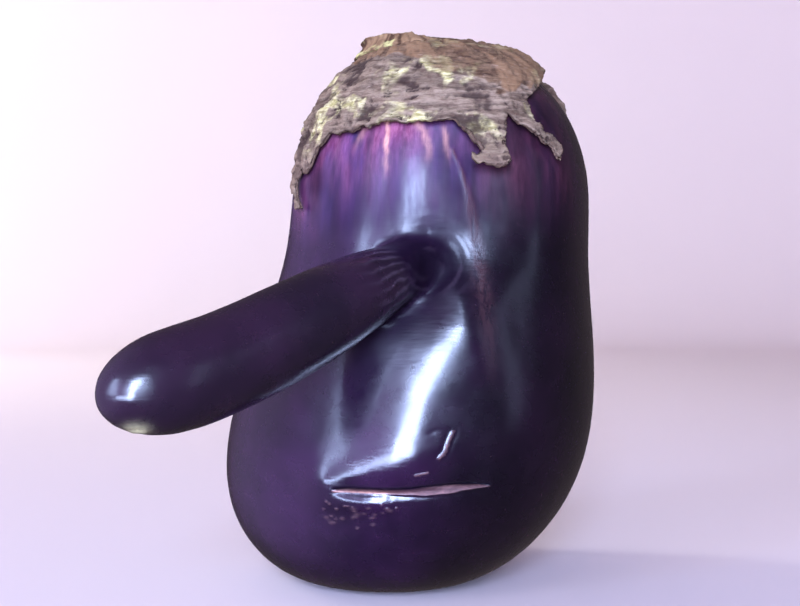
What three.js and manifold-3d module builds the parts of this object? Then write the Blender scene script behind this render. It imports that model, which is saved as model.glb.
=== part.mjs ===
// A large globe eggplant with a long club-shaped outgrowth on its front, its dried calyx and its cut stem.
// Millimetres, +Z up. It stands on its blossom end: the origin is the centre of the flat spot there.
// The front, where the outgrowth leaves the skin, looks along -Y.

import * as THREE from "three";
import { mergeVertices } from "three/addons/utils/BufferGeometryUtils.js";
import Module from "manifold-3d";

const wasm = await Module();
wasm.setup();

const { clamp, degToRad, lerp, smoothstep } = THREE.MathUtils;

// Driving dimensions of the fruit's body
const FOOT_RADIUS = 18; // flat spot under the blossom end
const BODY_WIDTH = 112; // side to side at the widest ring
const BODY_DEPTH = 106; // front to back at the widest ring
const WIDEST_AT = 46; // height of the widest ring
const SHOULDER_WIDTH = 93; // side to side where the crown starts to round over
const SHOULDER_DEPTH = 88; // front to back there
const SHOULDER_AT = 110; // height of that ring
const BODY_HEIGHT = 161.5; // skin at the crown, under the calyx
const CROWN_FULLNESS = 2.45; // 2 rounds the crown over like an ellipse, more makes it squarer
const FOOT_FULLNESS = 2.06; // the same for the round between the widest ring and the flat spot
const LEAN = 17.5; // how far the crown stands to the right of the flat spot
const LEAN_TO = 125; // the body leans below this height and is upright above it
// Shallow lobes that run from crown to foot: how many, how deep, and where one of them lies
const LOBES = [
  { count: 3, depth: 0.9, azimuth: 14 },
  { count: 5, depth: 0.4, azimuth: 40 },
];

// The outgrowth, and the hollow that it comes out of
const ROOT_AZIMUTH = -14; // from the front, positive to the right
const ROOT_AT = 94; // height of the root's middle
const OUTGROWTH_LENGTH = 95; // from the skin at its root to its tip
const OUTGROWTH_TURN = -48; // which way it points, from the front
const OUTGROWTH_DROP = 19; // how far below level it points
const OUTGROWTH_BOW = 3.5; // how far its outer half hangs below a straight line
const OUTGROWTH_RADIUS = 12.6; // near its tip
const OUTGROWTH_ROOT_RADIUS = 7.6; // where it leaves the skin
const TIP_LENGTH = 22; // the rounded end
const ROOT_SINK = 14; // how deep the outgrowth reaches into the flesh
const HOLLOW_AZIMUTH = -7; // the hollow opens a little to the right of the root
const HOLLOW_DEPTH = 5;
const HOLLOW_RADIUS = 12;

// The healed slit across the lower front
const SLIT_AT = 36; // its height
const SLIT_AZIMUTH = 2; // its middle, from the front
const SLIT_WIDTH = 42; // from end to end along the skin
const SLIT_HEIGHT = 1.4;
const SLIT_DEPTH = 2.5;
const SLIT_SAG = 0.8; // how far its middle hangs below its ends

// The calyx, a dried cap that drapes over the crown, and its pointed lobes
const GAP = 0.3; // between pieces that lie on each other
const CAP_THICKNESS = 3.5; // round the stem
const RIM_THICKNESS = 1.2; // at the rim and in the lobes
const RIM_DISTANCE = 50; // from the crown along the skin, where the calyx has thinned to its rim
const RIM_LIFT = 0.8; // how far the dried rim stands off the skin

// The stem, cut off a little above the calyx
const STEM_RADIUS = 9.8; // at the cut
const STEM_FLARE_RADIUS = 18; // where it spreads onto the calyx
const STEM_HEIGHT = 3.6; // from the calyx to the middle of the cut
const STEM_SLANT = 10; // degrees: the cut's left side stands higher above the calyx
const STEM_OFFSET = 7; // how far the flare's middle lies to the left of the crown
const STEM_LEAN = 6.5; // how far the cut stands to the left of the flare's middle
const STEM_ZONE = 27; // the calyx keeps its full thickness this far out from the crown, under the stem

// How finely the surfaces are divided
const BODY_SIDES = 64;
const BODY_ROWS = 36;
const CAP_SIDES = 60;
const RING_STEP = 4.5; // between the rings of the calyx and of the stem's underside

// The skin ------------------------------------------------------------------------------------------------------

// Half the body's outline, from the crown down to the flat spot's edge: x is the radius, y the height.
function bodyOutline() {
  const shoulder = SHOULDER_WIDTH / 2;
  const widest = BODY_WIDTH / 2;
  const rounded = (a, fullness) => [Math.sin(a) ** (2 / fullness), Math.cos(a) ** (2 / fullness)];
  const points = [];
  const steps = 8;
  for (let i = 0; i < steps; i++) {
    const [out, up] = rounded((i / steps) * (Math.PI / 2), CROWN_FULLNESS);
    points.push([shoulder * out, lerp(SHOULDER_AT, BODY_HEIGHT, up)]);
  }
  for (let i = 0; i < steps; i++) {
    const t = i / steps;
    points.push([lerp(shoulder, widest, smoothstep(t, 0, 1)), lerp(SHOULDER_AT, WIDEST_AT, t)]);
  }
  for (let i = steps; i >= 0; i--) {
    const [out, down] = rounded((i / steps) * (Math.PI / 2), FOOT_FULLNESS);
    points.push([lerp(FOOT_RADIUS, widest, out), lerp(WIDEST_AT, 0, down)]);
  }
  return new THREE.SplineCurve(points.map(([radius, height]) => new THREE.Vector2(radius, height)));
}

const OUTLINE = bodyOutline();
const OUTLINE_LENGTH = OUTLINE.getLength();

// Turns a ring's radius and height into a point of the body, with its lobes, its flatter depth and its lean.
function ringPoint(azimuth, radius, height) {
  const ripple = LOBES.reduce(
    (sum, lobe) => sum + lobe.depth * Math.cos(lobe.count * (azimuth - degToRad(lobe.azimuth))),
    0,
  );
  // The lobes fade out over the crown and the foot.
  const fade = clamp((radius - FOOT_RADIUS) / (SHOULDER_WIDTH / 2 - FOOT_RADIUS), 0, 1);
  const r = radius + ripple * fade;
  const t = clamp(height / LEAN_TO, 0, 1);
  const upward = smoothstep(height, WIDEST_AT, SHOULDER_AT);
  const flatness = lerp(BODY_DEPTH / BODY_WIDTH, SHOULDER_DEPTH / SHOULDER_WIDTH, upward);
  return new THREE.Vector3(
    r * Math.sin(azimuth) + LEAN * t * (1 + t - t ** 2),
    -r * Math.cos(azimuth) * flatness,
    height,
  );
}

// The outline's radius at a height on its long side, below the crown.
function radiusAt(height) {
  let [low, high] = [0, 1];
  for (let i = 0; i < 24; i++) {
    const middle = (low + high) / 2;
    if (OUTLINE.getPoint(middle).y > height) low = middle;
    else high = middle;
  }
  return OUTLINE.getPoint(low).x;
}

// The point of the round body's side at that azimuth in degrees and that height.
function sidePoint(azimuth, height, outward = 0) {
  return ringPoint(degToRad(azimuth), radiusAt(height) + outward, height);
}

const ROOT = sidePoint(ROOT_AZIMUTH, ROOT_AT);
const HOLLOW = sidePoint(HOLLOW_AZIMUTH, ROOT_AT);

// Sinks a point of the skin into the hollow round the outgrowth's root.
function hollowed(point) {
  const depth = HOLLOW_DEPTH * Math.exp(-((point.distanceTo(HOLLOW) / HOLLOW_RADIUS) ** 2));
  const inward = new THREE.Vector3(LEAN, 0, point.z).sub(point).setZ(0);
  return inward.lengthSq() > 0 ? point.addScaledVector(inward.normalize(), depth) : point;
}

// The point of the skin at that distance from the crown, measured along it.
function skinPoint(azimuth, distance) {
  const { x: radius, y: height } = OUTLINE.getPointAt(Math.min(1, distance / OUTLINE_LENGTH));
  return hollowed(ringPoint(azimuth, radius, height));
}

// Helpers for solids -------------------------------------------------------------------------------------------

// Moves every vertex of a geometry by move(vertex), which changes it in place or returns a new one.
function reshaped(geometry, move) {
  const position = geometry.getAttribute("position");
  const vertex = new THREE.Vector3();
  for (let i = 0; i < position.count; i++) {
    const moved = move(vertex.fromBufferAttribute(position, i)) ?? vertex;
    position.setXYZ(i, moved.x, moved.y, moved.z);
  }
  return geometry;
}

function toSolid(geometry) {
  const bare = geometry.clone();
  bare.deleteAttribute("normal");
  bare.deleteAttribute("uv");
  const merged = mergeVertices(bare, 1e-3);
  return new wasm.Manifold(
    new wasm.Mesh({
      numProp: 3,
      vertProperties: merged.getAttribute("position").array,
      triVerts: new Uint32Array(merged.index.array),
    }),
  );
}

function toGeometry(solid) {
  const { vertProperties, triVerts } = solid.getMesh();
  return new THREE.BufferGeometry()
    .setAttribute("position", new THREE.BufferAttribute(vertProperties, 3))
    .setIndex(new THREE.BufferAttribute(triVerts, 1));
}

// A lathe turned about Z. Its profile is a list of [radius, height], up the outside from the axis to the axis.
function turned(profile, sides) {
  const points = profile.map(([radius, height]) => new THREE.Vector2(radius, height));
  return new THREE.LatheGeometry(points, sides).rotateX(Math.PI / 2);
}

// The fruit ----------------------------------------------------------------------------------------------------

function makeBody() {
  const rows = OUTLINE.getSpacedPoints(BODY_ROWS).reverse();
  const profile = [[0, 0], ...rows.map(({ x, y }) => [x, y])];
  profile[profile.length - 1][0] = 0;
  return reshaped(turned(profile, BODY_SIDES), (vertex) => {
    const radius = Math.hypot(vertex.x, vertex.y);
    return hollowed(ringPoint(Math.atan2(vertex.x, -vertex.y), radius, vertex.z));
  });
}

// The direction that the outgrowth points in.
function outgrowthDirection() {
  const [turn, drop] = [degToRad(OUTGROWTH_TURN), degToRad(OUTGROWTH_DROP)];
  return new THREE.Vector3(
    Math.sin(turn) * Math.cos(drop),
    -Math.cos(turn) * Math.cos(drop),
    -Math.sin(drop),
  );
}

// A club turned about Z and then bent along the outgrowth's centre line.
function makeOutgrowth() {
  const direction = outgrowthDirection();
  const along = (distance, down = 0) =>
    ROOT.clone().addScaledVector(direction, distance).setZ(ROOT.z + direction.z * distance - down);
  const shaft = OUTGROWTH_LENGTH - TIP_LENGTH;
  const centreLine = new THREE.CatmullRomCurve3([
    along(-ROOT_SINK),
    along(0),
    along(OUTGROWTH_LENGTH * 0.62, OUTGROWTH_BOW),
    along(OUTGROWTH_LENGTH),
  ]);
  const length = centreLine.getLength();
  const scale = length / (OUTGROWTH_LENGTH + ROOT_SINK);

  const profile = [[0, 0]];
  const rings = 18;
  for (let i = 0; i <= rings; i++) {
    const distance = lerp(-ROOT_SINK, shaft, i / rings);
    const t = Math.max(0, distance / shaft);
    const radius = lerp(OUTGROWTH_ROOT_RADIUS, OUTGROWTH_RADIUS, 1 - (1 - t) ** 4);
    profile.push([radius, (distance + ROOT_SINK) * scale]);
  }
  const capRings = 6;
  for (let i = 1; i <= capRings; i++) {
    const a = (i / capRings) * (Math.PI / 2);
    const distance = shaft + TIP_LENGTH * Math.sin(a);
    profile.push([i < capRings ? OUTGROWTH_RADIUS * Math.cos(a) : 0, (distance + ROOT_SINK) * scale]);
  }
  const up = new THREE.Vector3(0, 0, 1);
  return reshaped(turned(profile, 28), ({ x, y, z }) => {
    const u = clamp(z / length, 0, 1);
    const tangent = centreLine.getTangentAt(u);
    const side = new THREE.Vector3().crossVectors(tangent, up).normalize();
    const under = new THREE.Vector3().crossVectors(tangent, side);
    return centreLine.getPointAt(u).addScaledVector(side, x).addScaledVector(under, y);
  });
}

// A thin lens that follows the round of the skin: what the slit takes out of the body.
function makeSlit() {
  const halfAngle = SLIT_WIDTH / BODY_WIDTH; // in radians, on the body's round
  return reshaped(new THREE.SphereGeometry(1, 28, 8), ({ x, y, z }) => {
    const azimuth = SLIT_AZIMUTH + THREE.MathUtils.radToDeg(halfAngle * x);
    const height = SLIT_AT - SLIT_SAG * (1 - x ** 2) + (SLIT_HEIGHT / 2) * y;
    return sidePoint(azimuth, height, SLIT_DEPTH * z);
  });
}

function makeFruit() {
  const grown = toSolid(makeBody()).add(toSolid(makeOutgrowth()));
  return toGeometry(grown.subtract(toSolid(makeSlit())));
}

// The calyx and the stem are made flat and then draped: x and y run along the skin from the crown, x to the right
// and y to the back, and z is the height above the skin.
function draped(geometry) {
  const skinAt = (x, y) => skinPoint(Math.atan2(x, -y), Math.hypot(x, y));
  const step = 0.5;
  return reshaped(geometry, ({ x, y, z }) => {
    const acrossSkin = skinAt(x + step, y).sub(skinAt(x - step, y));
    const alongSkin = skinAt(x, y + step).sub(skinAt(x, y - step));
    const outward = acrossSkin.cross(alongSkin).normalize();
    return skinAt(x, y).addScaledVector(outward, z);
  });
}

// The calyx's lobes: a centre line along the skin from the crown, as [x, y] points, and the width at each point.
const CALYX_LOBES = {
  left: {
    line: [[-40, -20], [-52, -22], [-60, -20], [-66, -21], [-69, -27], [-68, -34]],
    widths: [38, 26, 14, 8, 4, 2],
  },
  front: {
    line: [[7, -44], [12, -53], [17, -60], [20, -63]],
    widths: [22, 17, 10, 5],
  },
  front_fold: {
    line: [[23, -60], [21, -63], [15, -64.5], [8, -64.5]],
    widths: [3, 4, 3.6, 2.4],
  },
  right_strand: {
    line: [[18, -41], [27, -47], [33, -47.5], [38.5, -46], [42.5, -47.5]],
    widths: [13, 6.5, 4, 5.5, 3.5],
  },
  back_right: {
    line: [[28, 14], [39, 20], [47, 27], [53, 32], [60, 33]],
    widths: [30, 20, 12, 7, 2.4],
  },
  back: {
    line: [[4, 36], [6, 48], [3, 56], [-2, 63], [-4, 70]],
    widths: [30, 20, 12, 7, 2.4],
  },
  back_left: {
    line: [[-32, 26], [-43, 33], [-50, 40], [-57, 43], [-63, 42]],
    widths: [30, 20, 11, 6, 2.4],
  },
};

// How far the cap's rim reaches from the crown, every 20 degrees from the front and round by the right.
const CAP_REACH = [55, 53, 43, 35, 31, 32, 37, 42, 45, 46, 46, 46, 47, 48, 50, 54, 57, 55];

const CUTTER_HEIGHT = 16; // of the prisms below, which reach from under the calyx to above it

// A prism over the cap's outline.
function makeCapPrism() {
  const rim = CAP_REACH.map((reach, i) => {
    const azimuth = (i / CAP_REACH.length) * 2 * Math.PI;
    return new THREE.Vector3(reach * Math.sin(azimuth), -reach * Math.cos(azimuth), 0);
  });
  const curve = new THREE.CatmullRomCurve3(rim, true);
  const outline = curve.getPoints(CAP_SIDES).slice(0, -1).map(({ x, y }) => new THREE.Vector2(x, y));
  return new THREE.ExtrudeGeometry(new THREE.Shape(outline), { depth: CUTTER_HEIGHT, bevelEnabled: false })
    .translate(0, 0, -CUTTER_HEIGHT / 2);
}

// A prism over a strip on both sides of a lobe's centre line.
function makeLobePrism({ line, widths }) {
  const centreLine = new THREE.SplineCurve(line.map(([x, y]) => new THREE.Vector2(x, y)));
  const widthAt = new THREE.SplineCurve(widths.map((w, i) => new THREE.Vector2(i / (widths.length - 1), w)));
  return reshaped(new THREE.BoxGeometry(1, 1, CUTTER_HEIGHT, 1, 16, 1), ({ x, y, z }) => {
    const t = y + 0.5;
    const centre = centreLine.getPoint(t);
    const along = centreLine.getTangent(t);
    const across = x * widthAt.getPoint(t).y;
    return new THREE.Vector3(centre.x + along.y * across, centre.y - along.x * across, z);
  });
}

// A flat disc with the calyx's thickness, larger than the calyx: its rim stands off the skin.
function makeSheet() {
  const reach = 80;
  const lift = (s) => GAP + RIM_LIFT * smoothstep(s, STEM_ZONE, RIM_DISTANCE);
  const thickness = (s) => lerp(CAP_THICKNESS, RIM_THICKNESS, smoothstep(s, STEM_ZONE, RIM_DISTANCE));
  const rings = [];
  for (let s = 0; s <= reach; s += RING_STEP) rings.push(s);
  const under = rings.map((s) => [s, lift(s)]);
  const over = rings.map((s) => [s, lift(s) + thickness(s)]).reverse();
  return toSolid(turned([...under, ...over], CAP_SIDES));
}

function makeCalyx() {
  const lobes = Object.values(CALYX_LOBES).map((lobe) => toSolid(makeLobePrism(lobe)));
  const outline = lobes.reduce((whole, lobe) => whole.add(lobe), toSolid(makeCapPrism()));
  return draped(toGeometry(makeSheet().intersect(outline)));
}

function makeStem() {
  const seat = GAP + CAP_THICKNESS + GAP;
  const profile = [];
  const footRings = Math.round(STEM_FLARE_RADIUS / RING_STEP);
  for (let i = 0; i <= footRings; i++) profile.push([(STEM_FLARE_RADIUS * i) / footRings, seat]);
  const rings = 6;
  for (let i = 0; i <= rings; i++) {
    const t = i / rings;
    const radius = lerp(STEM_FLARE_RADIUS, STEM_RADIUS, 1 - (1 - t) ** 2.2);
    profile.push([radius, seat + 0.6 + (STEM_HEIGHT - 0.6) * t]);
  }
  profile.push([STEM_RADIUS / 2, seat + STEM_HEIGHT], [0, seat + STEM_HEIGHT]);
  const leaning = reshaped(turned(profile, 36), (vertex) => {
    const t = (vertex.z - seat) / STEM_HEIGHT;
    vertex.z -= t * vertex.x * Math.tan(degToRad(STEM_SLANT));
    vertex.x -= STEM_OFFSET + STEM_LEAN * t;
  });
  return draped(leaning);
}

// The assembled eggplant ---------------------------------------------------------------------------------------

const MATERIALS = {
  skin: new THREE.MeshStandardMaterial({ color: 0x24142e, roughness: 0.25, metalness: 0 }),
  dried_calyx: new THREE.MeshStandardMaterial({ color: 0x8d8072, roughness: 0.85, metalness: 0 }),
  stem_wood: new THREE.MeshStandardMaterial({ color: 0x8a6a52, roughness: 0.9, metalness: 0 }),
};

function piece(name, geometry, material) {
  const mesh = new THREE.Mesh(geometry, material);
  mesh.name = name;
  return mesh;
}

const eggplant = new THREE.Group();
eggplant.add(piece("fruit", makeFruit(), MATERIALS.skin));
eggplant.add(piece("calyx", makeCalyx(), MATERIALS.dried_calyx));
eggplant.add(piece("stem", makeStem(), MATERIALS.stem_wood));

export default eggplant;
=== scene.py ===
"""A dark purple globe eggplant with a long outgrowth on its front, standing on a pale floor.

The three CAD nodes are replaced by finer meshes that are grown from their own solids: the skin
with its scars and wrinkles, the dried fibrous calyx and the cut stem. Places and lengths on the
fruit are in millimetres until a mesh is written back. The studio is in metres.
"""

import math

import bmesh
import bpy
import numpy as np
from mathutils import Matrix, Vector
from mathutils.bvhtree import BVHTree


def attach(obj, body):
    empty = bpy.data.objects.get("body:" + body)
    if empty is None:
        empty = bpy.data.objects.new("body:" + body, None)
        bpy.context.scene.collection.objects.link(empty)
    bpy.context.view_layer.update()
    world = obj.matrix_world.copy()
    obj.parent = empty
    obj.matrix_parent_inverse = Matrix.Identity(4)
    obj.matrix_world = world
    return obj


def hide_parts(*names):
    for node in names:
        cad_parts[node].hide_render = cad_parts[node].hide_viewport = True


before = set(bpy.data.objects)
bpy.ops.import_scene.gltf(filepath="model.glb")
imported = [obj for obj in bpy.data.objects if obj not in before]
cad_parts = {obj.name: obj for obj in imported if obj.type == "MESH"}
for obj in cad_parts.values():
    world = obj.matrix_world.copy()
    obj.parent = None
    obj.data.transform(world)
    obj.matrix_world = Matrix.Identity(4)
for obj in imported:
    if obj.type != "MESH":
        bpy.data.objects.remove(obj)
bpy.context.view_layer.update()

MM = 0.001

# Places on the fruit, in millimetres, written here and not read from the frame. They are close
# to part.mjs's own, not equal: the root is 2.4 mm nearer the camera than there, and the middle
# of the hollow's wrinkles and shade is 3 mm up and to the right of the hollow's.
LEAN = 17.5  # how far the crown stands to the right of the flat spot
LEAN_TO = 125.0  # the body is upright above this height
SLIT_AT = 35.6  # height of the slit's middle
SLIT_MIDDLE = 7.5  # how far to the right its middle lies
SLIT_HALF = 21.5
ROOT = np.array([4.3, -46.5, 94.0])  # where the outgrowth leaves the skin
OUTGROWTH_DIRECTION = np.array([-0.703, -0.633, -0.326])
OUTGROWTH_LENGTH = 95.0
HOLLOW = np.array([12.0, 96.0])  # x and z of the middle of the hollow's wrinkles and shade
STEM_MIDDLE = np.array([LEAN - 12.5, 1.0])  # x and y, where the calyx's fibres start

# The grown meshes: the grid in millimetres, and how many times it is smoothed
FRUIT_GRID, FRUIT_SMOOTHING = 1.2, 22
CALYX_GRID, CALYX_SMOOTHING = 0.52, 4
STEM_GRID, STEM_SMOOTHING = 0.5, 4

LATTICE_SEED, LATTICE_CELLS = 11, 64
SPECK_SEED, SPECKS = 5, 30

# The camera, in metres: level, in front of the fruit, at the photograph's distance and height
CAMERA_PLACE = (0.0042, -0.355, 0.0853)
CAMERA_LENS = 51.1


# ------------------------------------------------------------------------------------------------
# Noise and small maths
# ------------------------------------------------------------------------------------------------

LATTICE = np.random.default_rng(LATTICE_SEED).random((LATTICE_CELLS,) * 3)
# Turns each layer of noise off the last, so that no grid shows
TURN = np.array([[0.36, 0.48, -0.80], [-0.80, 0.60, 0.0], [0.48, 0.64, 0.60]])


def noise(points, scale=1.0, offset=0.0):
    """Smooth noise between 0 and 1 at points (N by 3), scale being cells per unit on each axis."""
    p = points * np.asarray(scale, dtype=float) + offset + 100.0
    cell = np.floor(p).astype(int)
    f = p - cell
    f = f * f * (3.0 - 2.0 * f)
    total = np.zeros(len(p))
    for corner in range(8):
        step = np.array([corner & 1, (corner >> 1) & 1, (corner >> 2) & 1])
        weight = np.prod(np.where(step, f, 1.0 - f), axis=1)
        i, j, k = ((cell + step) % LATTICE_CELLS).T
        total += weight * LATTICE[i, j, k]
    return total


def fbm(points, scale=1.0, octaves=4, offset=0.0):
    """Layered noise, about 0 on average and within -1 and 1."""
    total, size, reach = np.zeros(len(points)), 1.0, 0.0
    p = points * np.asarray(scale, dtype=float)
    for i in range(octaves):
        p = p @ TURN
        total += size * (noise(p, 2.0**i, offset + 7.3 * i) * 2.0 - 1.0)
        reach += size
        size *= 0.55
    return 1.35 * total / reach


def smooth(value, low, high):
    """0 at low and 1 at high with soft ends, and the other way round where low is above high."""
    t = np.clip((value - low) / (high - low), 0.0, 1.0)
    return t * t * (3.0 - 2.0 * t)


def bump(value, width):
    """1 where value is 0, falling off on both sides."""
    return np.exp(-((value / width) ** 2))


def to_polyline(x, z, points):
    """For each (x, z): the distance to the line through points, and how far along it, 0 to 1."""
    points = np.asarray(points, dtype=float)
    best, along = np.full(len(x), 1e9), np.zeros(len(x))
    lengths = np.linalg.norm(np.diff(points, axis=0), axis=1)
    starts = np.concatenate([[0.0], np.cumsum(lengths)])
    for a, b, start, length in zip(points[:-1], points[1:], starts, lengths):
        d = b - a
        t = np.clip(((x - a[0]) * d[0] + (z - a[1]) * d[1]) / (length * length), 0.0, 1.0)
        distance = np.hypot(x - a[0] - t * d[0], z - a[1] - t * d[1])
        nearer = distance < best
        best = np.where(nearer, distance, best)
        along = np.where(nearer, (start + t * length) / starts[-1], along)
    return best, along


def lean(z):
    """How far to the right the body's middle stands at a height."""
    t = np.clip(z / LEAN_TO, 0.0, 1.0)
    return LEAN * t * (1.0 + t - t * t)


# ------------------------------------------------------------------------------------------------
# Meshes
# ------------------------------------------------------------------------------------------------


def grown_mesh(node, name, voxel, smoothing):
    """A new object with the CAD node's shape, on an even fine grid and smoothed."""
    source = bpy.data.objects.new(name + "_source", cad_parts[node].data.copy())
    bpy.context.scene.collection.objects.link(source)
    remesh = source.modifiers.new("remesh", "REMESH")
    remesh.mode = "VOXEL"
    remesh.voxel_size = voxel * MM
    remesh.use_smooth_shade = True
    ease = source.modifiers.new("smooth", "SMOOTH")
    ease.factor = 0.5
    ease.iterations = smoothing
    graph = bpy.context.evaluated_depsgraph_get()
    mesh = bpy.data.meshes.new_from_object(source.evaluated_get(graph))
    bpy.data.objects.remove(source)
    mesh.name = name
    mesh.materials.clear()
    piece = bpy.data.objects.new(name, mesh)
    bpy.context.scene.collection.objects.link(piece)
    return piece


def coordinates(mesh):
    flat = np.empty(len(mesh.vertices) * 3)
    mesh.vertices.foreach_get("co", flat)
    return flat.reshape(-1, 3) / MM


def normals(mesh):
    flat = np.empty(len(mesh.vertices) * 3)
    mesh.vertex_normals.foreach_get("vector", flat)
    return flat.reshape(-1, 3)


def move_to(mesh, points):
    mesh.vertices.foreach_set("co", (points * MM).ravel())
    mesh.update()


def refine(mesh, wanted):
    """Halves the grid where wanted(points) is true."""
    points = coordinates(mesh)
    keep = wanted(points)
    bm = bmesh.new()
    bm.from_mesh(mesh)
    bm.verts.ensure_lookup_table()
    edges = set()
    for face in bm.faces:
        if all(keep[v.index] for v in face.verts):
            edges.update(face.edges)
    bmesh.ops.subdivide_edges(bm, edges=list(edges), cuts=1, use_grid_fill=True)
    bm.to_mesh(mesh)
    bm.free()
    for polygon in mesh.polygons:
        polygon.use_smooth = True


def store(mesh, name, values):
    """Keeps a mask on the mesh, for its material."""
    layer = mesh.attributes.new(name, "FLOAT", "POINT")
    layer.data.foreach_set("value", np.asarray(values, dtype=np.float32))


def node_tree_of_solid(node):
    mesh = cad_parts[node].data
    vertices = [v.co / MM for v in mesh.vertices]
    return BVHTree.FromPolygons(vertices, [tuple(p.vertices) for p in mesh.polygons])


def distances(points, tree, limit):
    """How far each point is from a solid, up to a limit."""
    out = np.full(len(points), limit)
    for i, p in enumerate(points):
        hit = tree.find_nearest(Vector(p), limit)
        if hit[3] is not None:
            out[i] = hit[3]
    return out


# ------------------------------------------------------------------------------------------------
# Materials
# ------------------------------------------------------------------------------------------------


RANGE_SOCKETS = ("From Min", "From Max", "To Min", "To Max")


class Shader:
    """A material with a Principled shader, and short ways to add what feeds it."""

    def __init__(self, name):
        self.material = bpy.data.materials.new(name)
        self.material.use_nodes = True
        self.tree = self.material.node_tree
        self.surface = self.tree.nodes["Principled BSDF"]
        self.place = self.tree.nodes.new("ShaderNodeTexCoord").outputs["Object"]

    def link(self, value, socket):
        if isinstance(value, bpy.types.NodeSocket):
            self.tree.links.new(value, socket)
        else:
            socket.default_value = value

    def set(self, **values):
        for name, value in values.items():
            self.link(value, self.surface.inputs[name.replace("_", " ")])

    def stretched(self, scale):
        node = self.tree.nodes.new("ShaderNodeMapping")
        self.link(self.place, node.inputs["Vector"])
        node.inputs["Scale"].default_value = scale
        return node.outputs[0]

    def noise(self, scale, detail=4.0, roughness=0.55, vector=None, distortion=0.0):
        node = self.tree.nodes.new("ShaderNodeTexNoise")
        self.link(self.place if vector is None else vector, node.inputs["Vector"])
        node.inputs["Scale"].default_value = scale
        node.inputs["Detail"].default_value = detail
        node.inputs["Roughness"].default_value = roughness
        node.inputs["Distortion"].default_value = distortion
        return node.outputs["Fac"]

    def cells(self, scale):
        node = self.tree.nodes.new("ShaderNodeTexVoronoi")
        self.link(self.place, node.inputs["Vector"])
        node.inputs["Scale"].default_value = scale
        return node.outputs["Distance"]

    def attribute(self, name):
        node = self.tree.nodes.new("ShaderNodeAttribute")
        node.attribute_name = name
        return node.outputs["Fac"]

    def ramp(self, value, low, high, out_low=0.0, out_high=1.0):
        """out_low where value is low, out_high where it is high, and soft between."""
        node = self.tree.nodes.new("ShaderNodeMapRange")
        node.interpolation_type = "SMOOTHSTEP"
        self.link(value, node.inputs["Value"])
        numbers = (low, high, out_low, out_high)
        for name, number in zip(RANGE_SOCKETS, numbers):
            node.inputs[name].default_value = number
        return node.outputs[0]

    def math(self, operation, a, b, clamp=False):
        node = self.tree.nodes.new("ShaderNodeMath")
        node.operation = operation
        node.use_clamp = clamp
        self.link(a, node.inputs[0])
        self.link(b, node.inputs[1])
        return node.outputs[0]

    def mix(self, factor, a, b, blend="MIX"):
        node = self.tree.nodes.new("ShaderNodeMix")
        node.data_type = "RGBA"
        node.blend_type = blend
        self.link(factor, node.inputs["Factor"])
        sockets = [s for s in node.inputs if s.type == "RGBA"]
        for value, socket in zip((a, b), sockets):
            value = (*value, 1.0) if isinstance(value, tuple) else value
            self.link(value, socket)
        return [s for s in node.outputs if s.type == "RGBA"][0]

    def relief(self, height, distance, strength, under=None):
        """Fine roughness in the normal, distance millimetres deep, over what is under it."""
        node = self.tree.nodes.new("ShaderNodeBump")
        node.inputs["Strength"].default_value = strength
        node.inputs["Distance"].default_value = distance * MM
        self.link(height, node.inputs["Height"])
        if under is not None:
            self.link(under, node.inputs["Normal"])
        return node.outputs[0]


# ------------------------------------------------------------------------------------------------
# The fruit
# ------------------------------------------------------------------------------------------------


def slit_line(x):
    """Height of the slit at x: level on the left, a little higher on the right."""
    s = (x - SLIT_MIDDLE) / SLIT_HALF
    return SLIT_AT - 0.2 + 0.9 * smooth(s, -0.3, 0.7) - 0.35 * bump(s + 0.2, 0.5)


# Scars and streaks as lines of (x, z) on the front. part.mjs has none of them, so their places
# were read off the photograph with the camera below and are written here in millimetres.
BENT_SCAR = [(18.3, 50.9), (17.4, 49.2), (16.7, 47.2), (16.2, 45.6), (14.6, 43.9)]
BENT_SCAR_TOP = [(12.2, 50.7), (14.2, 51.7), (16.4, 51.2)]
DASH = [(8.2, 39.3), (11.6, 40.0)]
STREAK = [
    (19.0, 128.0),
    (20.8, 124.0),
    (23.0, 117.0),
    (24.8, 107.0),
    (26.6, 92.0),
    (28.4, 73.0),
    (30.2, 56.0),
]
# Each pale streak under the calyx: its line, its width and how strong it is
PALE_STREAKS = [
    ([(0.6, 137.0), (0.4, 130.0), (0.3, 124.0), (0.0, 118.0)], 0.6, 1.0),
    ([(8.6, 136.0), (10.8, 133.0), (12.0, 128.0), (11.8, 122.0)], 1.0, 0.55),
    ([(-5.0, 136.0), (-7.5, 132.0), (-9.0, 127.0)], 1.0, 0.35),
    ([(16.5, 134.0), (17.2, 128.0), (18.4, 122.0)], 0.8, 0.45),
]
# The ridge that carries the bright band, from the hollow down to the slit's left corner, set by
# trial so that the band falls where the photograph has it
HOOK = [
    (23.0, 94.0), (20.0, 84.0), (14.5, 70.0), (9.5, 57.0), (5.0, 47.5), (-3.0, 42.0), (-14.0, 38.5)
]


def near_slit(points):
    """Round the slit, where the grid is halved a second time."""
    x, y, z = points.T
    body = (y < -38.0) & (np.abs(x - SLIT_MIDDLE) < SLIT_HALF + 3.0)
    return body & (np.abs(z - SLIT_AT) < 6.5)


def at_slit(points):
    """Along the slit's edge, where it is halved a third time."""
    x, y, z = points.T
    body = (y < -38.0) & (np.abs(x - SLIT_MIDDLE) < SLIT_HALF + 1.0)
    return body & (np.abs(z - slit_line(x) + 0.6) < 2.6)


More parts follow.
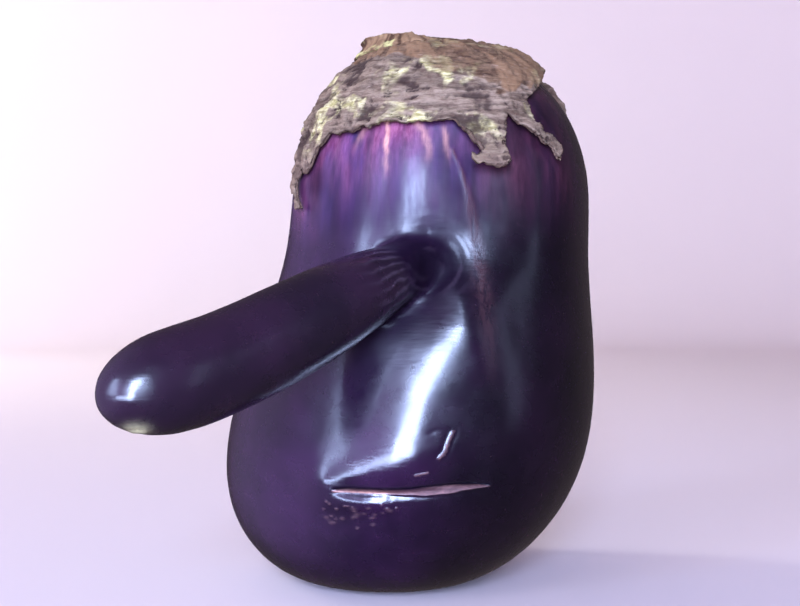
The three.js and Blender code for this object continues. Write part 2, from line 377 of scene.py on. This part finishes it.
def near_details(points):
    """Round every small mark, where the grid is halved once."""
    x, y, z = points.T
    scars = (y < -44.0) & (x > 6.0) & (x < 21.0) & (z > 38.0) & (z < 54.0)
    hollow_shade = (y < -30.0) & (np.hypot(x - HOLLOW[0], z - HOLLOW[1]) < 17.0)
    under_calyx = (y < -26.0) & (x > -14.0) & (x < 30.0) & (z > 114.0) & (z < 140.0)
    specks = (y < -36.0) & (x > -20.0) & (x < 10.0) & (z > 20.0) & (z < SLIT_AT)
    along = (points - ROOT) @ OUTGROWTH_DIRECTION
    root = (along > -3.0) & (along < 20.0) & (np.linalg.norm(points - ROOT, axis=1) < 26.0)
    return scars | hollow_shade | under_calyx | specks | root | near_slit(points)


def make_fruit():
    """The body with its outgrowth, every mark on the skin as shape and as a mask, and masks of
    painted shade.
    """
    piece = grown_mesh("fruit", "fruit_skin", FRUIT_GRID, FRUIT_SMOOTHING)
    mesh = piece.data
    refine(mesh, near_details)
    refine(mesh, near_slit)
    refine(mesh, at_slit)

    points = coordinates(mesh)
    normal = normals(mesh)
    x, y, z = points.T

    # How far each point lies along the outgrowth, and whether it is part of it
    offset = points - ROOT
    along = offset @ OUTGROWTH_DIRECTION
    beside = np.linalg.norm(offset - np.outer(along, OUTGROWTH_DIRECTION), axis=1)
    t = np.clip(along / OUTGROWTH_LENGTH, 0.0, 1.0)
    edge = 12.6 - 5.0 * (1.0 - t) ** 4 + 3.0 * np.sin(math.pi * t)
    outgrowth = smooth(along, 1.0, 6.0) * smooth(beside, edge + 2.4, edge + 0.8)
    body = 1.0 - outgrowth
    front = smooth(-y, 20.0, 36.0) * body

    move = np.zeros(len(points))

    # Slow swellings, and faint ones that run with the fruit's length
    upright = points * np.array([1.0, 1.0, 0.45])
    move += 0.45 * fbm(upright, 1 / 30.0, 2) * body
    move += 0.06 * fbm(upright, 1 / 9.0, 2, 3.0) + 0.025 * fbm(points, 1 / 3.5, 2, 5.0)
    azimuth = np.arctan2(x - lean(z), -y)
    swelling = bump(azimuth - math.radians(16.0), math.radians(10.0))
    move += 1.3 * swelling * smooth(z, 52.0, 78.0) * smooth(z, 99.0, 90.0) * body

    # A dent that runs down right of the hollow, and the ridge that carries the bright band
    to_right = smooth(x, 17.0, 30.0)
    fold = smooth(x, 2.0, 27.0) * smooth(x, 54.0, 27.0) * smooth(z, 146.0, 126.0)
    fold *= smooth(z, 90.0 - 34.0 * to_right, 103.0 + 10.0 * to_right)
    move -= 3.4 * fold * front
    ridge, ridge_along = to_polyline(x, z, HOOK)
    ridge_height = 0.75 + 0.65 * smooth(ridge_along, 0.45, 0.15)
    move += ridge_height * bump(ridge, 9.0) * smooth(ridge_along, 0.0, 0.12) * front

    # The healed slit: a lip that overhangs it, a corky face under it, and a swollen lower lip
    s = (x - SLIT_MIDDLE) / SLIT_HALF
    taper = np.sqrt(np.clip(1.0 - s * s, 0.0, 1.0))
    d = z - slit_line(x)
    open_to = smooth(np.abs(s), 1.0, 0.8) * (0.7 + 0.3 * taper)
    band = (
        0.30
        + 1.35 * bump(s - 0.35, 0.48) * taper
        + 0.25 * taper * fbm(points, (0.35, 0.0, 0.0), 2, 4.0)
    )
    lip_width = 3.0 + 9.0 * smooth(s, -1.0, 0.5)
    lip_sink = (0.7 + 0.9 * smooth(s, -0.8, 0.4)) * smooth(np.abs(s), 1.0, 0.7)
    above = np.clip(1.0 - np.maximum(d, 0.0) / lip_width, 0.0, 1.0) ** 1.6 * lip_sink
    ragged = 1.0 + 0.2 * fbm(points, (0.5, 0.5, 2.0), 3, 5.0)
    wall = (
        np.clip(1.0 + d / band, 0.0, 1.0) ** 0.8
        * (0.5 + 1.1 * smooth(band, 0.5, 2.0))
        * open_to
        * ragged
    )
    slit = np.where(d > 0.0, -above, -wall) - 1.5 * open_to * bump(d + 0.05, 0.34)
    slit = np.where(np.abs(s) < 1.0, slit, 0.0)
    crease = -(0.1 + 0.25 * bump(s + 0.6, 0.4)) * bump(d + band + 0.7, 0.6) * taper
    lower_lip = (
        (1.15 * bump(s + 0.62, 0.42) + 0.15 * bump(s - 0.5, 0.5)) * bump(d + band + 3.4, 2.6)
    )
    corner = 1.3 * np.exp(-(((x + 17.5) / 6.0) ** 2) - ((z - 36.5) / 6.0) ** 2)
    move += (slit + crease + lower_lip + corner) * front

    # Raised corky scars
    stroke, _ = to_polyline(x, z, BENT_SCAR)
    bar, _ = to_polyline(x, z, BENT_SCAR_TOP)
    dash, _ = to_polyline(x, z, DASH)
    rough = 1.0 + 0.5 * fbm(points, 1.4, 2, 2.0)
    move += (
        (0.20 * bump(stroke, 0.34) * rough - 0.12 * bump(bar, 0.4) + 0.10 * bump(dash, 0.3)) * front
    )
    move -= 0.12 * bump(stroke - 1.0, 0.6) * front

    # The hollow right of the outgrowth's root, with curved wrinkles round it
    hx, hz = x - HOLLOW[0], z - HOLLOW[1]
    r = np.hypot(hx, hz)
    turn = np.arctan2(hz, hx)
    swirl = fbm(np.column_stack([r / 1.7 + 0.5 * turn, turn * 1.1, 0 * r]), 1.0, 3, 1.0)
    at_root = smooth(-y, 26.0, 34.0) * np.maximum(smooth(along, 11.0, -1.0), body)
    in_hollow = bump(r, 11.0) * at_root
    # Painted shade under the outgrowth's root, for the material
    shade_under_root = bump(np.hypot(x - 0.5, z - 82.5), 10.0) * at_root
    move += 0.42 * swirl * in_hollow * smooth(r, 1.0, 4.0) * (0.3 + 0.7 * bump(turn - 1.2, 1.2))
    move -= (
        1.6
        * np.exp(-(((x - 12.8) / 3.6) ** 2) - ((z - 94.5) / 4.5) ** 2)
        * smooth(-y, 26.0, 34.0)
        * body
    )

    # Lengthwise wrinkles on the outgrowth, near its root
    across = np.cross(OUTGROWTH_DIRECTION, (0.0, 0.0, 1.0))
    upward = np.cross(OUTGROWTH_DIRECTION, across)
    around = np.arctan2(offset @ upward, offset @ across)
    root_lines = (
        np.sin(19.0 * around + 4.0 * fbm(points, 1 / 7.0, 3, 9.0))
        + 0.6 * fbm(points, 1 / 3.0, 2, 2.0)
    )
    near_root = bump(along - 7.0, 8.0) * outgrowth
    move += 0.13 * root_lines * near_root

    # Blossom scars, under the outgrowth's tip and in the middle of the flat spot
    tip = points[np.argmax(along)]
    scar_place = tip + np.array([7.5, 1.0, -8.0])
    tip_scar = np.linalg.norm(points - scar_place, axis=1)
    nearest = points[np.argmin(tip_scar)]
    tip_scar = np.linalg.norm(points - nearest, axis=1)
    move += 0.35 * bump(tip_scar - 1.9, 0.7) - 0.3 * bump(tip_scar, 1.2)

    # Corky specks below the slit
    draw = np.random.default_rng(SPECK_SEED)
    specks = np.zeros(len(points))
    for _ in range(SPECKS):
        cx = draw.normal(-8.0, 6.5)
        cz = SLIT_AT - 3.5 - abs(draw.normal(0.0, 4.0))
        size = draw.uniform(0.16, 0.42)
        long = draw.uniform(1.0, 2.4)
        specks += bump(np.hypot((x - cx) / long, z - cz), size)
    specks = np.clip(specks, 0.0, 1.0) * front * (z < slit_line(x) - band - 0.6)
    move += 0.16 * specks

    # The brown streak is a little rough
    streak, streak_along = to_polyline(x, z, STREAK)
    streak_width = 0.5 + 1.7 * smooth(streak_along, 0.05, 0.45)
    streak_mask = (
        bump(streak, streak_width)
        * smooth(streak_along, 0.98, 0.5)
        * front
        * (1.0 - 0.45 * smooth(streak_along, 0.1, 0.4))
    )
    move += (0.10 + 0.12 * fbm(points, (1.0, 1.0, 0.6), 3, 6.0)) * streak_mask

    keep_flat = smooth(z, 0.0, 4.0)
    points = points + normal * (move * keep_flat)[:, None]
    points[:, 2] = np.maximum(points[:, 2], 0.0)
    move_to(mesh, points)

    # Masks for the material, painted shade among them
    calyx = distances(points, node_tree_of_solid("calyx"), 40.0)
    top = smooth(z, 95.0, 125.0) * body
    patchy = 0.55 + 0.9 * fbm(upright, 1 / 7.0, 3, 4.0)
    side = 0.3 + 0.7 * bump(azimuth + 0.72, 0.42) + 0.2 * bump(azimuth - 0.8, 0.4)
    store(mesh, "blush", np.clip(np.exp(-calyx / 8.0) * side * patchy * 1.5, 0.0, 1.0) * top)
    store(
        mesh,
        "shoulder",
        np.clip(
            np.exp(-calyx / 26.0) * top * (0.7 + 0.6 * fbm(upright, (0.3, 0.3, 0.03), 3, 8.0)),
            0.0,
            1.0,
        ),
    )

    face = (
        smooth(d, -0.1, -0.4)
        * smooth(d, -band - 0.35, -band + 0.05)
        * smooth(np.abs(s), 1.0, 0.93)
        * front
    )
    scar = (
        np.clip(bump(stroke, 0.32) * 1.25 - 0.1, 0.0, 1.0)
        * front
        * np.clip(0.8 + 0.5 * fbm(points, 1.0, 2, 4.0), 0, 1)
    )
    small = np.clip(bump(dash, 0.26) * 1.1, 0.0, 1.0) * front * 0.7 + specks * 0.5
    store(mesh, "cork", np.clip(np.maximum.reduce([face * 0.85, scar, small]), 0.0, 1.0))
    store(mesh, "streak", streak_mask)

    pale = np.zeros(len(points))
    for line, width, strength in PALE_STREAKS:
        distance, t = to_polyline(x, z, line)
        distance = distance + 0.5 * fbm(points, 0.5, 2, 3.0)
        pale = np.maximum(pale, strength * bump(distance, width) * smooth(t, 1.0, 0.2))
    pale = np.maximum(
        pale, 0.8 * bump(d + 0.5, 0.22) * smooth(s, 0.0, -0.4) * smooth(s, -1.0, -0.93)
    )
    store(mesh, "pale", np.clip(pale * front, 0.0, 1.0))
    bottom_scar = np.hypot(x, y)
    store(
        mesh, "blossom", np.clip(bump(tip_scar, 2.3) + bump(bottom_scar, 4.0) * (z < 2.0), 0.0, 1.0)
    )
    store(mesh, "outgrowth", outgrowth)
    store(mesh, "bloom", smooth(z, 101.0, 110.0) * front)
    lines = (
        smooth(root_lines, 0.2, 1.1) * near_root
        + 0.8 * smooth(swirl, 0.1, 0.5) * in_hollow * smooth(r, 3.0, 7.0) * body
    )
    store(mesh, "lines", np.clip(lines, 0.0, 1.0))
    # Painted shade: the skin's colours turn darker on the right side, away from the lamps
    store(mesh, "shaded_side", smooth(azimuth, -0.25, 0.45) * smooth(azimuth, 3.1, 2.4))
    # Painted shade, near black and with little gloss: in the hollow, under the outgrowth's root,
    # along the top of the slit and under the calyx's left lobe
    lip_shade = (
        smooth(d, -0.25, 0.0)
        * smooth(d, 1.3 - 0.5 * s, 0.2)
        * smooth(np.abs(s), 1.02, 0.95)
        * front
    )
    shadow_under_lobe = (
        0.8 * np.exp(-(((x + 20.5) / 4.5) ** 2) - ((z - 121.0) / 7.5) ** 2) * smooth(-y, 10.0, 20.0)
    )
    store(
        mesh,
        "hollow_shade",
        np.clip(np.maximum(in_hollow * 1.15, shade_under_root) + lip_shade + shadow_under_lobe, 0.0, 1.0),
    )
    return piece


def skin_material():
    s = Shader("eggplant_skin")
    lengthwise = s.stretched((1.0, 1.0, 0.16))
    streaks = s.noise(260.0, 5.0, 0.6, lengthwise)
    fine_streaks = s.noise(900.0, 3.0, 0.6, lengthwise)
    clouds = s.noise(38.0, 3.0)
    speckle = s.ramp(s.noise(1500.0, 2.0), 0.66, 0.76)

    # Painted shade: darker copies of the deep, violet and rosy colours on the right side
    shaded_side = s.attribute("shaded_side")
    deep = s.mix(s.ramp(clouds, 0.35, 0.7), (0.0088, 0.0026, 0.0125), (0.022, 0.0058, 0.027))
    deep = s.mix(
        shaded_side,
        deep,
        s.mix(s.ramp(clouds, 0.35, 0.7), (0.0022, 0.0009, 0.0034), (0.0060, 0.0019, 0.0066)),
    )
    violet = s.mix(s.ramp(streaks, 0.35, 0.68), (0.030, 0.014, 0.068), (0.085, 0.045, 0.15))
    violet = s.mix(
        shaded_side,
        violet,
        s.mix(s.ramp(streaks, 0.35, 0.68), (0.016, 0.006, 0.016), (0.040, 0.013, 0.030)),
    )
    colour = s.mix(s.math("MULTIPLY", s.attribute("shoulder"), 0.9), deep, violet)
    blush = s.math(
        "MULTIPLY", s.attribute("blush"), s.ramp(streaks, 0.25, 0.6, 0.55, 1.1), clamp=True
    )
    rosy = s.mix(s.ramp(fine_streaks, 0.3, 0.7), (0.14, 0.026, 0.066), (0.25, 0.075, 0.14))
    rosy = s.mix(
        shaded_side,
        rosy,
        s.mix(s.ramp(fine_streaks, 0.3, 0.7), (0.055, 0.010, 0.020), (0.12, 0.030, 0.050)),
    )
    colour = s.mix(blush, colour, rosy)
    colour = s.mix(
        s.math("MULTIPLY", s.attribute("outgrowth"), 0.88),
        colour,
        s.mix(s.ramp(clouds, 0.3, 0.7), (0.0075, 0.0040, 0.0085), (0.016, 0.0065, 0.015)),
    )
    # Painted shade: near black in the hollow, under the outgrowth's root, along the top of the slit
    # and under the calyx's left lobe
    colour = s.mix(s.math("MULTIPLY", s.attribute("hollow_shade"), 0.8), colour, (0.005, 0.0025, 0.007))
    colour = s.mix(s.math("MULTIPLY", s.attribute("lines"), 0.55), colour, (0.055, 0.036, 0.055))

    broken = s.ramp(s.noise(700.0, 4.0, 0.65, lengthwise), 0.3, 0.62)
    streak = s.math(
        "MULTIPLY", s.attribute("streak"), s.ramp(broken, 0.0, 1.0, 0.15, 0.8), clamp=True
    )
    colour = s.mix(streak, colour, s.mix(speckle, (0.060, 0.020, 0.024), (0.17, 0.080, 0.075)))
    pale = s.math(
        "MULTIPLY", s.attribute("pale"), s.ramp(fine_streaks, 0.2, 0.6, 0.5, 1.1), clamp=True
    )
    colour = s.mix(pale, colour, (0.55, 0.26, 0.20))
    cork = s.math(
        "MULTIPLY",
        s.attribute("cork"),
        s.ramp(s.noise(1100.0, 3.0), 0.2, 0.7, 0.6, 1.1),
        clamp=True,
    )
    corky = s.mix(
        s.ramp(s.noise(500.0, 4.0, 0.6, s.stretched((0.3, 0.3, 2.0))), 0.3, 0.7),
        (0.075, 0.030, 0.036),
        (0.24, 0.125, 0.125),
    )
    colour = s.mix(cork, colour, corky)
    colour = s.mix(
        s.math("MULTIPLY", s.attribute("blossom"), s.ramp(s.noise(900.0, 3.0), 0.2, 0.6, 0.5, 1.0)),
        colour,
        (0.50, 0.46, 0.25),
    )

    matt = s.math("ADD", s.math("MULTIPLY", cork, 0.45), s.math("MULTIPLY", streak, 0.22))
    matt = s.math("ADD", matt, s.math("MULTIPLY", s.attribute("blossom"), 0.35))
    matt = s.math("ADD", matt, s.math("MULTIPLY", s.attribute("hollow_shade"), 0.30))
    bloom = s.math("MULTIPLY", s.attribute("bloom"), s.ramp(streaks, 0.3, 0.65, 0.5, 1.0))
    matt = s.math("ADD", matt, s.math("MULTIPLY", bloom, 0.16))
    shine = s.ramp(s.attribute("hollow_shade"), 0.2, 0.85, 1.0, 0.12)
    shine = s.math("MULTIPLY", shine, s.ramp(bloom, 0.0, 1.0, 1.0, 0.42))
    rough = s.math("ADD", s.ramp(s.noise(160.0, 4.0), 0.3, 0.7, 0.235, 0.30), matt, clamp=True)

    ripples = s.noise(420.0, 3.0, 0.5, s.stretched((0.5, 0.5, 3.2)))
    pores = s.ramp(s.cells(900.0), 0.0, 0.30)
    shape = s.relief(ripples, 0.10, 0.5)
    shape = s.relief(pores, 0.02, 0.4, shape)
    shape = s.relief(
        s.math("MULTIPLY", s.noise(1300.0, 4.0, 0.7), s.math("ADD", cork, streak)), 0.25, 0.8, shape
    )
    s.set(
        Base_Color=colour,
        Roughness=rough,
        Normal=shape,
        IOR=1.48,
        Specular_IOR_Level=s.math("MULTIPLY", shine, 0.5),
    )
    s.set(Coat_Weight=s.math("MULTIPLY", shine, 0.25), Coat_Roughness=0.16, Coat_IOR=1.45)
    return s.material


# ------------------------------------------------------------------------------------------------
# The calyx and the stem
# ------------------------------------------------------------------------------------------------


def fibre_pattern(points):
    """Fibres that run out from the stem, wrinkles that run round the crown, and how far each point
    is, in plan, from the stem's middle and from the crown's."""
    dx, dy = points[:, 0] - LEAN, points[:, 1]
    from_stem = points[:, :2] - STEM_MIDDLE
    rho = np.hypot(*from_stem.T)
    unit = from_stem / np.maximum(rho, 1e-6)[:, None]
    wander = 0.35 * fbm(points, 1 / 9.0, 2, 2.0)
    radial = np.column_stack([unit * 11.0 + wander[:, None], rho / 16.0])
    fibres = fbm(radial, 1.0, 4, 1.0)
    crown = np.hypot(dx, dy)
    flat = np.column_stack([dx / 11.0, dy / 11.0, points[:, 2] / 1.5 + 2.2 * wander])
    wrinkles = fbm(flat, 1.0, 4, 5.0)
    return fibres, wrinkles, rho, crown


def make_calyx():
    """The dried cap: fibres and wrinkles, a torn inner layer, a ragged rim and curled tips."""
    piece = grown_mesh("calyx", "calyx_dried", CALYX_GRID, CALYX_SMOOTHING)
    mesh = piece.data
    points = coordinates(mesh)
    normal = normals(mesh)
    fruit = node_tree_of_solid("fruit")
    outward = np.zeros_like(points)
    for i, p in enumerate(points):
        outward[i] = fruit.find_nearest(Vector(p))[1]
    facing = np.einsum("ij,ij->i", normal, outward)
    outside = smooth(facing, 0.0, 0.6)
    x, y, z = points.T
    fibres, wrinkles, _, crown = fibre_pattern(points)
    azimuth = np.arctan2(x - LEAN, -y)

    # The brown inner layer ends in a torn step, lower on the front right
    layer_edge = 29.0 + 11.0 * bump(azimuth - 0.55, 0.75) + 3.0 * fbm(points, 1 / 6.0, 3, 3.0)
    layer = smooth(layer_edge - crown, -0.6, 0.6)
    low = smooth(crown, 26.0, 41.0)
    cracks = np.abs(wrinkles) * (0.4 + 0.6 * low) + np.abs(fibres) * (1.0 - 0.6 * low)
    fuzz = fbm(points, 1 / 1.7, 3, 8.0)
    height = (
        0.55 * fibres * (1.0 - 0.7 * low)
        + 0.40 * wrinkles * (0.35 + 0.65 * low)
        - 1.1 * bump(cracks, 0.10)
    )
    height += (
        0.42 * fuzz
        + 0.55 * layer
        + 0.9 * fbm(points, 1 / 9.0, 2, 6.0)
        + 0.5 * fbm(points, 1 / 4.0, 2, 9.0)
    )
    points = points + normal * (height * 0.9 * outside)[:, None]
    edge = smooth(np.abs(facing), 0.75, 0.25) * smooth(z, 140.0, 130.0)
    points = points - normal * (1.4 * edge)[:, None]

    # The thin rim is ragged, and the pointed lobes curl off the skin
    rim = smooth(z, 140.0, 131.0)
    ragged = fbm(
        np.column_stack([np.cos(azimuth) * 16, np.sin(azimuth) * 16, z / 12.0]), 1.0, 4, 4.0
    )
    points[:, 2] += 1.7 * ragged * rim
    tips = smooth(z, 131.0, 118.0)
    edge_lift = 0.4 * rim + 1.3 * tips * (0.7 + 0.6 * fbm(points, 1 / 8.0, 2, 7.0))
    left = bump(azimuth + 1.25, 0.45)
    points = points + outward * (edge_lift * (1.0 - 0.9 * left))[:, None]
    move_to(mesh, points)

    store(mesh, "fibres", fibres * 0.5 + 0.5)
    store(mesh, "wrinkles", wrinkles * 0.5 + 0.5)
    store(mesh, "height", np.clip(height * 0.35 + 0.5, 0.0, 1.0))
    store(mesh, "cracks", bump(cracks, 0.13) * outside)
    store(mesh, "layer", layer)
    store(mesh, "tips", smooth(z, 135.0, 124.0))
    store(mesh, "inside", 1.0 - outside)
    return piece


def make_stem():
    """The cut stub: grain on its side, fibres on its flare and rings in its cut face."""
    piece = grown_mesh("stem", "stem_cut", STEM_GRID, STEM_SMOOTHING)
    mesh = piece.data
    points = coordinates(mesh)
    normal = normals(mesh)
    fibres, _, rho, _ = fibre_pattern(points)
    high = points[:, 2].max()
    side = smooth(np.hypot(normal[:, 0], normal[:, 1]), 0.3, 0.8)
    up = smooth(normal[:, 2], -0.1, 0.5)
    angle = np.arctan2(points[:, 1] - 1.0, points[:, 0] - LEAN + 13.0)
    grain = fbm(
        np.column_stack([np.cos(angle) * 9, np.sin(angle) * 9, points[:, 2] / 5.0]), 1.0, 4, 2.0
    )
    height = 0.55 * grain * side + 0.5 * fibres * up + 0.3 * fbm(points, 1 / 1.8, 3, 1.0) * up
    cut = smooth(points[:, 2], high - 2.2, high - 0.9) * smooth(rho, 12.0, 9.0)
    height += cut * 0.35 * np.sin(rho * 2.2 + 2.0 * fbm(points, 0.3, 2, 3.0))
    points = points + normal * (height * np.maximum(up, side * 0.8))[:, None]
    move_to(mesh, points)
    store(mesh, "fibres", fibres * 0.5 + 0.5)
    store(mesh, "height", np.clip(height * 0.5 + 0.5, 0.0, 1.0))
    store(mesh, "cut", cut)
    return piece


def calyx_material():
    s = Shader("dried_calyx")
    fibres, wrinkles, height = s.attribute("fibres"), s.attribute("wrinkles"), s.attribute("height")
    fine = s.noise(900.0, 5.0, 0.65, s.stretched((0.35, 0.35, 1.6)))
    patches = s.noise(75.0, 3.0, 0.5, distortion=0.6)
    patches_fine = s.noise(210.0, 3.0, 0.6)

    grain = s.noise(420.0, 5.0, 0.7, s.stretched((0.5, 0.5, 2.2)), 0.4)
    grey = s.mix(s.ramp(wrinkles, 0.3, 0.7), (0.072, 0.050, 0.038), (0.235, 0.188, 0.155))
    grey = s.mix(
        s.ramp(grain, 0.35, 0.65),
        s.mix(0.6, grey, (0.085, 0.055, 0.040)),
        s.mix(0.4, grey, (0.36, 0.315, 0.26)),
    )
    brown = s.mix(s.ramp(fibres, 0.3, 0.7), (0.050, 0.025, 0.014), (0.185, 0.115, 0.066))
    brown = s.mix(s.ramp(grain, 0.35, 0.65, 0.0, 0.6), brown, (0.26, 0.185, 0.125))
    colour = s.mix(s.ramp(s.attribute("layer"), 0.2, 0.8), grey, brown)
    green = s.math("MULTIPLY", s.ramp(patches, 0.525, 0.62), s.ramp(patches_fine, 0.36, 0.6))
    keep = s.math("SUBTRACT", 1.0, s.math("MULTIPLY", s.attribute("layer"), 0.75))
    keep = s.math("MULTIPLY", keep, s.ramp(s.attribute("tips"), 0.0, 0.6, 1.0, 0.1))
    green = s.math("MULTIPLY", green, keep, clamp=True)
    pale = s.mix(s.ramp(fine, 0.35, 0.65), (0.36, 0.37, 0.14), (0.84, 0.86, 0.56))
    colour = s.mix(s.math("MULTIPLY", green, 0.85), colour, pale)
    colour = s.mix(s.ramp(fine, 0.58, 0.80, 0.0, 0.5), colour, (0.50, 0.44, 0.42))
    # Painted shade: the low places of the wrinkled surface are darkened
    colour = s.mix(s.ramp(height, 0.46, 0.25, 0.0, 0.85), colour, (0.028, 0.014, 0.013))
    colour = s.mix(s.math("MULTIPLY", s.attribute("tips"), 0.35), colour, (0.30, 0.235, 0.20))
    colour = s.mix(s.math("MULTIPLY", s.attribute("cracks"), 0.7), colour, (0.035, 0.018, 0.016))
    colour = s.mix(s.math("MULTIPLY", s.attribute("inside"), 0.6), colour, (0.10, 0.06, 0.05))
    colour = s.mix(1.0, colour, (0.84, 0.70, 0.58), "MULTIPLY")
    shape = s.relief(fine, 0.35, 0.9)
    shape = s.relief(s.noise(2200.0, 3.0, 0.6), 0.12, 0.6, shape)
    s.set(Base_Color=colour, Roughness=s.ramp(fine, 0.2, 0.8, 0.95, 0.72), Normal=shape)
    s.set(Specular_IOR_Level=0.25)
    return s.material


def stem_material():
    s = Shader("cut_stem")
    fibres, height, cut = s.attribute("fibres"), s.attribute("height"), s.attribute("cut")
    fine = s.noise(1000.0, 5.0, 0.65, s.stretched((0.6, 0.6, 1.5)))
    bark = s.mix(s.ramp(fibres, 0.3, 0.7), (0.070, 0.036, 0.020), (0.25, 0.165, 0.10))
    wood = s.mix(s.ramp(s.noise(400.0, 4.0), 0.3, 0.7), (0.20, 0.135, 0.085), (0.42, 0.32, 0.23))
    colour = s.mix(s.ramp(cut, 0.2, 0.8), bark, wood)
    green = s.math(
        "MULTIPLY",
        s.ramp(s.noise(120.0, 3.0), 0.55, 0.66),
        s.math("SUBTRACT", 1.0, cut),
        clamp=True,
    )
    colour = s.mix(green, colour, (0.50, 0.50, 0.24))
    # Painted shade: the low places of the grain are darkened
    colour = s.mix(s.ramp(height, 0.42, 0.2, 0.0, 0.8), colour, (0.045, 0.025, 0.018))
    colour = s.mix(1.0, colour, (0.90, 0.78, 0.66), "MULTIPLY")
    shape = s.relief(fine, 0.35, 0.9)
    s.set(Base_Color=colour, Roughness=s.ramp(fine, 0.2, 0.8, 0.95, 0.75), Normal=shape)
    s.set(Specular_IOR_Level=0.25)
    return s.material


def finish_piece(piece, material, node):
    piece.data.materials.append(material)
    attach(piece, "root")
    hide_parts(node)


# ------------------------------------------------------------------------------------------------
# Studio: camera, floor, backdrop and lights
# ------------------------------------------------------------------------------------------------


def make_camera():
    data = bpy.data.cameras.new("camera")
    data.sensor_width = 36.0
    data.lens = CAMERA_LENS
    camera = bpy.data.objects.new("camera", data)
    camera.location = CAMERA_PLACE
    camera.rotation_euler = (math.radians(90.0), 0.0, 0.0)
    bpy.context.scene.collection.objects.link(camera)
    bpy.context.scene.camera = camera


def make_cove():
    """A round pale floor that curves up into a wall all round."""
    wall, fillet, top, sides, steps = 2.6, 0.8, 3.4, 96, 14
    profile = [(0.0, 0.0), (0.6, 0.0), (1.2, 0.0), (wall - fillet, 0.0)]
    for i in range(1, steps + 1):
        a = i / steps * math.pi / 2
        profile.append((wall - fillet + fillet * math.sin(a), fillet - fillet * math.cos(a)))
    profile.append((wall, top))
    vertices, faces = [(0.0, 0.0, 0.0)], []
    for radius, z in profile[1:]:
        for k in range(sides):
            a = 2 * math.pi * k / sides
            vertices.append((radius * math.cos(a), radius * math.sin(a), z))
    for k in range(sides):
        n = (k + 1) % sides
        faces.append((0, 1 + k, 1 + n))
        for ring in range(len(profile) - 2):
            a, b = 1 + ring * sides, 1 + (ring + 1) * sides
            faces.append((a + k, b + k, b + n, a + n))
    mesh = bpy.data.meshes.new("cove")
    mesh.from_pydata(vertices, [], faces)
    for polygon in mesh.polygons:
        polygon.use_smooth = True
    cove = bpy.data.objects.new("cove", mesh)
    bpy.context.scene.collection.objects.link(cove)
    s = Shader("cove_paper")
    s.set(
        Base_Color=s.mix(s.noise(2.0, 2.0), (0.66, 0.565, 0.58), (0.69, 0.59, 0.605)), Roughness=0.9
    )
    s.set(Specular_IOR_Level=0.1)
    mesh.materials.append(s.material)
    cove.visible_glossy = False


def area_light(name, place, target, size, power, colour):
    data = bpy.data.lights.new(name, "AREA")
    data.shape = "RECTANGLE"
    data.size, data.size_y = size
    data.energy = power
    data.color = colour
    light = bpy.data.objects.new(name, data)
    light.location = place
    direction = Vector(target) - Vector(place)
    light.rotation_euler = direction.to_track_quat("-Z", "Y").to_euler()
    bpy.context.scene.collection.objects.link(light)
    return light


def make_lights():
    """A tall window left of the camera, weaker ones round it, fills that leave no glints on the
    skin, and a dim room with a broad violet glow from the left."""
    cool = (0.50, 0.63, 1.0)
    area_light("window", (-0.10, -1.30, 0.145), (0.0, 0.0, 0.08), (0.33, 1.07), 86.0, cool)
    area_light(
        "window_soft", (-0.66, -1.20, 0.22), (0.0, 0.0, 0.08), (0.72, 0.80), 4.0, (0.56, 0.41, 0.98)
    )
    area_light("window_sill", (-0.52, -1.20, -0.22), (0.0, 0.0, 0.04), (0.95, 0.13), 24.0, cool)
    area_light("window_left", (-1.02, -0.90, 0.38), (0.0, 0.0, 0.09), (0.26, 0.80), 12.0, cool)
    area_light(
        "room_right", (1.15, -0.75, 0.35), (0.0, 0.0, 0.09), (0.22, 0.9), 0.9, (0.55, 0.65, 1.0)
    )
    fills = [
        area_light(
            "fill_front", (-0.5, -1.2, 1.0), (0.0, 0.0, 0.12), (0.8, 0.8), 5.5, (1.0, 0.95, 0.90)
        ),
        area_light(
            "overhead", (-0.5, 0.35, 1.5), (0.0, 0.1, 0.1), (1.0, 1.0), 2.2, (1.0, 0.95, 0.92)
        ),
        area_light(
            "wall_left", (-1.6, 0.5, 1.0), (-1.0, 1.9, 0.5), (0.9, 0.9), 56.0, (0.95, 1.0, 1.0)
        ),
    ]
    for light in fills:
        light.visible_glossy = False

    world = bpy.data.worlds.new("studio")
    bpy.context.scene.world = world
    world.use_nodes = True
    tree = world.node_tree
    background = tree.nodes["Background"]
    place = tree.nodes.new("ShaderNodeTexCoord")
    dot = tree.nodes.new("ShaderNodeVectorMath")
    dot.operation = "DOT_PRODUCT"
    dot.inputs[1].default_value = Vector((-0.95, -0.25, 0.10)).normalized()
    tree.links.new(place.outputs["Generated"], dot.inputs[0])
    glow = tree.nodes.new("ShaderNodeMapRange")
    glow.interpolation_type = "SMOOTHSTEP"
    tree.links.new(dot.outputs["Value"], glow.inputs["Value"])
    for name, number in zip(RANGE_SOCKETS, (0.15, 1.0, 0.0, 1.0)):
        glow.inputs[name].default_value = number
    mix = tree.nodes.new("ShaderNodeMix")
    mix.data_type = "RGBA"
    tree.links.new(glow.outputs[0], mix.inputs["Factor"])
    a, b = [n for n in mix.inputs if n.type == "RGBA"]
    a.default_value = (0.100, 0.078, 0.092, 1.0)
    b.default_value = (0.62, 0.50, 0.92, 1.0)
    tree.links.new([n for n in mix.outputs if n.type == "RGBA"][0], background.inputs["Color"])


make_camera()
make_cove()
make_lights()
bpy.context.scene.view_settings.view_transform = "Standard"

finish_piece(make_fruit(), skin_material(), "fruit")
finish_piece(make_calyx(), calyx_material(), "calyx")
finish_piece(make_stem(), stem_material(), "stem")
